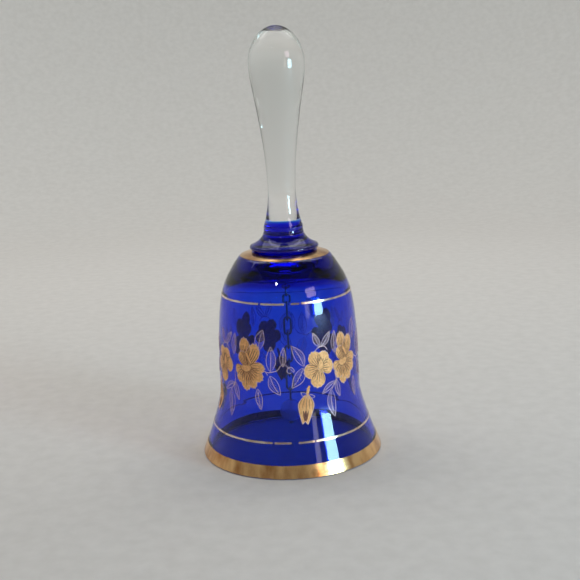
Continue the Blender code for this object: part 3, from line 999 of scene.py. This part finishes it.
    def build(self) -> None:
        """Builds this spray's gilding, its engraved lines, its outlines and its hatching."""
        rng = random.Random(40 + self.number)
        centres = {
            "open": (self.angle + self.open_turn, self.base_height + self.open_rise),
            "side": (self.angle + self.side_turn, self.base_height + self.side_rise),
            "bud": (self.angle + self.bud_turn, self.base_height + self.bud_rise),
        }
        makers = {"open": self.open_flower, "side": self.side_flower, "bud": self.bud}
        nodes = {"open": "open_flower", "side": "side_flower", "bud": "bud"}
        for key, (azimuth, height) in centres.items():
            gold, lines, edges = (Relief(self.body, azimuth, height) for _ in range(3))
            makers[key](gold, lines, edges, rng)
            node = f"{nodes[key]}_{self.number}"
            layers = (
                (gold, "gilding", PETAL_GOLD),
                (lines, "engraving", ENGRAVING),
                (edges, "edging", PALE_GOLD),
            )
            for relief, part, finish in layers:
                name = f"{nodes[key]}_{part}_{self.number}"
                replaced = (node,) if part == "gilding" else ()
                ride_and_stand(link_object(name, relief.mesh(name), finish), BELL, "matt_gilding", *replaced)
        edges = Relief(self.body, self.angle, self.middle_height)
        hatching = Relief(self.body, self.angle, self.middle_height)
        shift = self.base_height - self.middle_height
        for base, tip, half, bend in self.leaves:
            low, high = self.flat(*base), self.flat(*tip)
            blade = Blade(
                (low[0], low[1] + shift), (high[0], high[1] + shift), half * MM, BladeShape.LEAF, bend * MM
            )
            self.leaf(blade, edges, hatching, rng)
        stems = Relief(self.body, self.angle, self.base_height)
        self.tendrils(stems)
        layers = (
            (edges, "leaves", PALE_GOLD),
            (hatching, "hatching", THIN_GOLD),
            (stems, "stems", PALE_GOLD),
        )
        for relief, part, finish in layers:
            name = f"spray_{part}_{self.number}"
            ride_and_stand(link_object(name, relief.mesh(name), finish), BELL, "matt_gilding")


@dataclass
class GiltBand:
    """A gilt ring that follows the glass between two heights, worn at its edges."""

    name: str
    node: str
    top: float
    bottom: float
    body: BellBody
    # Spans in degrees where the gilding is rubbed away.
    gaps: tuple[Point2, ...] = ()
    wander: float = 0.05 * MM
    step: float = 0.75
    finish: Finish = GILT

    def edge(self, azimuth: float, row: float) -> float:
        """Height of the band at a share of its width, with a hand-painted waver."""
        seed = 7.0 if row > 0.5 else 3.0
        angle = math.radians(azimuth)
        waver = noise.noise(Vector((4.0 * math.cos(angle), 4.0 * math.sin(angle), seed + self.top * 900)))
        waver += 0.5 * noise.noise(Vector((17.0 * math.cos(angle), 17.0 * math.sin(angle), seed)))
        height = self.top + (self.bottom - self.top) * row
        return height + waver * self.wander * abs(2.0 * row - 1.0)

    def build(self) -> bpy.types.Object:
        """The ring, in one piece or in lengths between its gaps."""
        rows = 8 if self.top - self.bottom > 1.5 * MM else 3
        relief = Relief(self.body, 0.0, self.bottom)
        spans = []
        start = -180.0
        for low, high in self.gaps:
            spans.append((start, low))
            start = high
        spans.append((start, 180.0))
        for low, high in spans:
            count = max(2, round((high - low) / self.step))
            columns = []
            for i in range(count + 1):
                azimuth = low + (high - low) * i / count
                heights = [self.edge(azimuth, j / rows) for j in range(rows + 1)]
                columns.append([(azimuth, height) for height in heights])
            self.strip(relief.shape, columns, closed=not self.gaps)
        mesh = relief.mesh(self.name)
        return ride_and_stand(link_object(self.name, mesh, self.finish), BELL, "gilding", self.node)

    def strip(self, shape: bmesh.types.BMesh, columns: list[list[Point2]], closed: bool) -> None:
        """A thin closed plate over columns of (azimuth, height).

        Args:
            shape: The mesh that takes it.
            columns: Columns from left to right, each from the top down.
            closed: Joins the last column to the first.
        """
        if closed:
            columns = columns[:-1]
        low, high = FILM[0], FILM[1] + 0.02 * MM
        under = [[shape.verts.new(self.body.on_surface(a, h, low)) for a, h in column] for column in columns]
        over = [[shape.verts.new(self.body.on_surface(a, h, high)) for a, h in column] for column in columns]
        last, end = len(columns), len(columns[0]) - 1
        for i in range(last if closed else last - 1):
            k = (i + 1) % last
            for j in range(end):
                shape.faces.new((over[i][j], over[k][j], over[k][j + 1], over[i][j + 1]))
                shape.faces.new((under[i][j], under[i][j + 1], under[k][j + 1], under[k][j]))
            for j in (0, end):
                shape.faces.new((under[i][j], under[k][j], over[k][j], over[i][j]))
        if not closed:
            for i in (0, last - 1):
                for j in range(end):
                    shape.faces.new((under[i][j], over[i][j], over[i][j + 1], under[i][j + 1]))


# ---------------------------------------------------------------- chain and clapper


def tube(path: list[Vector], radii: list[float], closed: bool, sides: int = 14) -> bmesh.types.BMesh:
    """A round wire along a path.

    Args:
        path: Points of the centre line.
        radii: Radius at each point.
        closed: Joins the last point to the first.
        sides: Number of sides.

    Returns:
        The closed shape.
    """
    shape = bmesh.new()
    count = len(path)
    rings = []
    across = None
    for i, point in enumerate(path):
        before = path[(i - 1) % count] if closed or i > 0 else point
        after = path[(i + 1) % count] if closed or i < count - 1 else point
        along = (after - before).normalized()
        if across is None:
            across = along.orthogonal().normalized()
        across = (across - along * across.dot(along)).normalized()
        beside = along.cross(across)
        ring = []
        for j in range(sides):
            turn = math.tau * j / sides
            outward = math.cos(turn) * across + math.sin(turn) * beside
            ring.append(shape.verts.new(point + radii[i] * outward))
        rings.append(ring)
    pairs = list(zip(rings, rings[1:] + rings[:1])) if closed else list(zip(rings[:-1], rings[1:]))
    for first, second in pairs:
        for j in range(sides):
            after = (j + 1) % sides
            shape.faces.new((first[j], first[after], second[after], second[j]))
    if not closed:
        shape.faces.new(list(reversed(rings[0])))
        shape.faces.new(rings[-1])
    bmesh.ops.recalc_face_normals(shape, faces=shape.faces)
    return shape


@dataclass
class Chain:
    """The plug and eye under the ceiling, the links, and the clapper that they carry."""

    wire: float = 0.4 * MM
    half_width: float = 1.3 * MM
    # Degrees of the circle that a bent eye covers.
    eye_turn: float = 318.0
    links: int = 8

    def lies_across(self, index: int) -> bool:
        """True if this link lies in the plane that faces the viewer."""
        return index % 2 == 0

    def path(self, points: Profile, index: int) -> list[Vector]:
        """(across, height) points in the plane of a link."""
        if self.lies_across(index):
            return [Vector((across, 0.0, height)) for across, height in points]
        return [Vector((0.0, across, height)) for across, height in points]

    def anchor(self) -> None:
        """The cement plug with its slumped edge, and the wire eye set in it."""
        low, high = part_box("anchor_plug")
        radius = high.x
        hole = self.wire + 0.02 * MM
        slump = 1.0 * MM
        profile = [(hole, high.z), (radius * 0.9, high.z - 0.18 * MM), (radius, high.z - 0.36 * MM)]
        profile += arc((radius - slump, low.z + slump), (slump, slump), 0, -80, 10)
        profile += [(radius * 0.4, low.z + 0.05 * MM), (hole, low.z)]
        shape = revolve(profile, 48, closed=True)
        bmesh.ops.recalc_face_normals(shape, faces=shape.faces)
        for vert in shape.verts:
            drift = noise.noise(vert.co * 900.0) * 0.10 * MM
            if math.hypot(vert.co.x, vert.co.y) > radius * 0.35 and vert.co.z < high.z - 0.5 * MM:
                vert.co.z += abs(drift)
        plug = link_object("anchor_cement", finish_mesh("anchor_cement", shape), CEMENT)
        ride_and_stand(plug, BELL, "plaster", "anchor_plug")
        low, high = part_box("anchor_eye")
        middle = low.z + self.wire + self.half_width
        ring = arc((0.0, middle), (self.half_width,) * 2, 90, 90 + self.eye_turn, 40)
        neck = [(0.0, high.z), (0.0, middle + self.half_width + 0.7 * MM)]
        path = self.path(neck + ring, 0)
        wire = tube(path, [self.wire] * len(path), False)
        eye = link_object("anchor_wire_eye", finish_mesh("anchor_wire_eye", wire), BRASS)
        ride_and_stand(eye, BELL, "chain_brass", "anchor_eye")

    def link(self, index: int) -> None:
        """One long closed link."""
        node = f"chain_link_{index}"
        low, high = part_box(node)
        top = high.z - self.wire - self.half_width
        bottom = low.z + self.wire + self.half_width
        ring = arc((0.0, top), (self.half_width,) * 2, 0, 180, 16)
        ring += arc((0.0, bottom), (self.half_width,) * 2, 180, 360, 16)
        path = self.path(ring, index)
        name = f"brass_link_{index}"
        wire = tube(path, [self.wire] * len(path), True)
        piece = link_object(name, finish_mesh(name, wire), BRASS)
        ride_and_stand(piece, f"link_{index}", "chain_brass", node)

    def clapper(self) -> None:
        """The glass bead on its pin."""
        low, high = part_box("clapper_pin")
        bead_low, bead_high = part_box("clapper_bead")
        middle = high.z - self.wire - self.half_width
        ring = arc((0.0, middle), (self.half_width,) * 2, -90, -90 + self.eye_turn, 40)
        head = [(low.z, 0.55), (low.z + 0.12 * MM, 0.85), (low.z + 0.35 * MM, 1.0), (low.z + 0.62 * MM, 0.95)]
        head_radius = high.y if self.lies_across(self.links + 1) else high.x
        points = [(0.0, height) for height, _ in head] + [(0.0, low.z + 0.8 * MM), (0.0, bead_high.z)]
        radii = [head_radius * share for _, share in head] + [self.wire, self.wire]
        path = self.path(points + ring, self.links + 1)
        radii += [self.wire] * len(ring)
        wire = tube(path, radii, False)
        pin = link_object("clapper_wire_pin", finish_mesh("clapper_wire_pin", wire), BRASS)
        ride_and_stand(pin, "clapper", "chain_brass", "clapper_pin")
        radius = bead_high.x
        centre = (bead_low.z + bead_high.z) / 2
        hole = self.wire + 0.08 * MM
        tip = math.degrees(math.acos(hole / radius))
        shape = revolve(arc((0.0, centre), (radius, radius), tip, -tip, 48), 64, closed=True)
        bead = link_object("clapper_glass_bead", finish_mesh("clapper_glass_bead", shape), BEAD_GLASS)
        ride_and_stand(bead, "clapper", "bead_glass", "clapper_bead")

    def build(self) -> None:
        """Builds everything that hangs inside."""
        self.anchor()
        for index in range(1, self.links + 1):
            self.link(index)
        self.clapper()


# ---------------------------------------------------------------- studio


@dataclass
class Studio:
    """A pale floor that sweeps up all round, soft lamps and the camera."""

    floor_radius: float = 1.1
    wall_height: float = 1.1
    cove: float = 0.55
    lens: float = 60.64
    sensor: float = 36.0
    lamp_distance: float = 0.8
    aim_height: float = 0.04
    camera_at: Point3 = (0.0, -0.3744, 0.1474)
    pitch: float = -12.51
    yaw: float = 0.24
    roll: float = -2.41

    def sweep(self) -> bpy.types.Object:
        """The floor and the wall that it curves up into."""
        centre = (self.floor_radius - self.cove, self.cove)
        profile = [(0.0, 0.0), (0.12, 0.0), (0.3, 0.0)]
        profile += arc(centre, (self.cove, self.cove), -90, 0, 24)
        profile += [(self.floor_radius, self.wall_height)]
        shape = revolve(profile, 96)
        cloth = MattFinish("pale_cloth", (0.68, 0.66, 0.63), (0.63, 0.61, 0.58), 160.0, 0.1 * MM)
        piece = link_object("floor_sweep", finish_mesh("floor_sweep", shape, 60.0), cloth)
        return piece

    def lamp(
        self, name: str, azimuth: float, elevation: float, size: Point2, glow: float, colour: Colour,
        aim: Point3 | None = None,
    ) -> None:
        """A soft rectangular lamp.

        Args:
            name: Name of the lamp.
            azimuth: Degrees round from the viewer's side, towards the right.
            elevation: Degrees above the middle of the glass body.
            size: Width and height as seen from the bell, in degrees.
            glow: Brightness of its face.
            colour: Colour of the light.
            aim: The point that it faces, if not the middle of the glass body.
        """
        turn, rise = math.radians(azimuth), math.radians(elevation)
        away = Vector((math.sin(turn) * math.cos(rise), -math.cos(turn) * math.cos(rise), math.sin(rise)))
        data = bpy.data.lights.new(name, "AREA")
        data.shape = "RECTANGLE"
        data.size, data.size_y = (
            2 * self.lamp_distance * math.tan(math.radians(degrees / 2)) for degrees in size
        )
        data.energy = glow * math.pi * data.size * data.size_y
        data.color = colour
        lamp = bpy.data.objects.new(name, data)
        middle = Vector((0.0, 0.0, self.aim_height))
        lamp.location = middle + away * self.lamp_distance
        lamp.rotation_mode = "QUATERNION"
        faced = Vector(aim) if aim else middle
        lamp.rotation_quaternion = (faced - lamp.location).to_track_quat("-Z", "Y")
        bpy.context.scene.collection.objects.link(lamp)

    def world(self) -> None:
        """A faint, even and slightly warm sky."""
        world = bpy.data.worlds.new("soft_room")
        world.use_nodes = True
        sky = world.node_tree.nodes["Background"]
        sky.inputs["Color"].default_value = (1.0, 0.97, 0.93, 1.0)
        sky.inputs["Strength"].default_value = 0.08
        bpy.context.scene.world = world

    def camera(self) -> bpy.types.Object:
        """The camera, a little above the handle's middle and tilted down."""
        pitch, yaw, roll = (math.radians(v) for v in (self.pitch, self.yaw, self.roll))
        forward = Vector((math.sin(yaw) * math.cos(pitch), math.cos(yaw) * math.cos(pitch), math.sin(pitch)))
        right = Vector((math.cos(yaw), -math.sin(yaw), 0.0))
        up = right.cross(forward)
        right2 = math.cos(roll) * right + math.sin(roll) * up
        up2 = -math.sin(roll) * right + math.cos(roll) * up
        turn = Matrix((right2, up2, -forward)).transposed().to_4x4()
        data = bpy.data.cameras.new("camera")
        data.lens = self.lens
        data.sensor_width = self.sensor
        data.clip_start = 0.01
        data.clip_end = 20.0
        camera = bpy.data.objects.new("camera", data)
        camera.matrix_world = Matrix.Translation(self.camera_at) @ turn
        bpy.context.scene.collection.objects.link(camera)
        bpy.context.scene.camera = camera
        return camera

    def build(self) -> None:
        """Sets the stage."""
        self.sweep()
        self.world()
        self.lamp("window", 54.0, 9.0, (15.0, 14.0), 24.0, (0.50, 0.86, 1.0))
        self.lamp("window_blind", 47.0, 27.0, (17.0, 12.0), 5.0, (1.0, 0.74, 0.90))
        self.lamp("window_beyond", 34.0, 10.0, (7.0, 16.0), 2.6, (1.0, 0.90, 0.80))
        self.lamp("spot", -20.6, 45.0, (4.5, 4.5), 26.0, (1.0, 0.98, 0.95))
        self.lamp("ceiling", 180.0, 70.0, (80.0, 44.0), 1.35, (1.0, 0.99, 0.975))
        self.lamp("wall_wash", -156.0, 70.0, (80.0, 28.0), 1.7, (1.0, 0.995, 0.985), (-0.2, 1.0, 0.16))
        self.camera()
        bpy.context.scene.view_settings.view_transform = "Standard"


# Middle of each spray, and the turn of its side flower, in degrees.
SPRAYS = ((38.0, 12.5), (131.0, 13.0), (213.5, 13.6), (311.0, 16.0))


def gilt_bands(body: BellBody) -> list[GiltBand]:
    """The crown band, the two fine lines and the rim band, from the top down."""
    crown_top = body.height - 0.12 * MM
    return [
        GiltBand("crown_gilding", "crown_band", crown_top, body.height - 1.5 * MM, body, wander=0.06 * MM),
        GiltBand(
            "upper_gilt_line", "upper_gold_line", 64.95 * MM, 64.25 * MM, body,
            ((-24.5, -22.6), (-2.2, 3.4), (10.6, 12.0)), 0.10 * MM, finish=PALE_GILT,
        ),
        GiltBand(
            "lower_gilt_line", "lower_gold_line", 13.05 * MM, 12.35 * MM, body,
            ((-13.8, -12.4), (-0.6, 4.2), (15.6, 16.8)), 0.10 * MM, finish=PALE_GILT,
        ),
        GiltBand("rim_gilding", "rim_band", 4.9 * MM, 0.35 * MM, body, wander=0.10 * MM),
    ]


def main() -> None:
    """Builds the bell piece by piece, then the stage."""
    logging.basicConfig(level=logging.INFO, format="%(name)s: %(message)s")
    body = BellBody()
    collar = Collar()
    body.build(collar.seat_radius)
    collar.build()
    Handle().build()
    for band in gilt_bands(body):
        band.build()
    for number, (angle, side_turn) in enumerate(SPRAYS, start=1):
        FlowerSpray(number, angle, side_turn, body).build()
    Chain().build()
    Studio().build()


if __name__ == "__main__":
    main()
